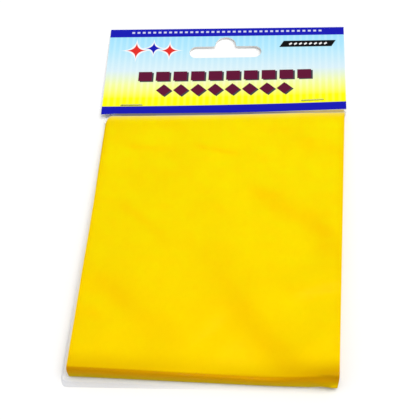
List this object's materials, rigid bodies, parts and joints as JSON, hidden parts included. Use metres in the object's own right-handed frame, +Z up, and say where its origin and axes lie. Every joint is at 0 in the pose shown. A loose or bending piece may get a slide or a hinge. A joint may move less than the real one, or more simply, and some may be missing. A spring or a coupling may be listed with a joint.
{
  "type": "transfer foil hang pack",
  "caption": "Clear film bag of folded gold transfer foil sheets, closed by a stapled, printed header card with a hang slot; the pouch folds at the card's edge.",
  "frame": {"origin": "on the table, under the middle of the pack's box", "axes": "+Y along the pack towards the header card's fold, +Z up out of the printed face, +X to the right of the printed face"},
  "size_m": [0.109, 0.174, 0.0064],
  "materials": {
    "printed_card": "gloss-printed front with pale blue fading to yellow between dark blue bands, plain white inside and back",
    "staple_wire": "bright drawn wire",
    "clear_film": "clear glossy film",
    "gold_foil": "satin yellow-gold metallised film"
  },
  "bodies": {
    "header": {"header_card": "printed_card", "bag_mouth": "clear_film", "staple_left": "staple_wire", "staple_right": "staple_wire"},
    "pouch": {"bag_pouch": "clear_film"},
    "foil_bundle": {"foil_sheet_01": "gold_foil", "foil_sheet_02": "gold_foil", "foil_sheet_03": "gold_foil", "foil_sheet_04": "gold_foil", "foil_sheet_05": "gold_foil", "foil_sheet_06": "gold_foil", "foil_sheet_07": "gold_foil", "foil_sheet_08": "gold_foil", "foil_sheet_09": "gold_foil", "foil_sheet_10": "gold_foil"}
  },
  "joints": [
    {"name": "pouch_fold", "type": "hinge", "parent": "header", "child": "pouch", "pos_m": [0, 0.03838, 0.00295], "axis": [1, 0, 0], "range_deg": [-90, 90]},
    {"name": "bundle_slide", "type": "slide", "parent": "pouch", "child": "foil_bundle", "axis": [-0.0349, -0.9994, 0], "range_m": [-0.0002, 0.0005]}
  ]
}
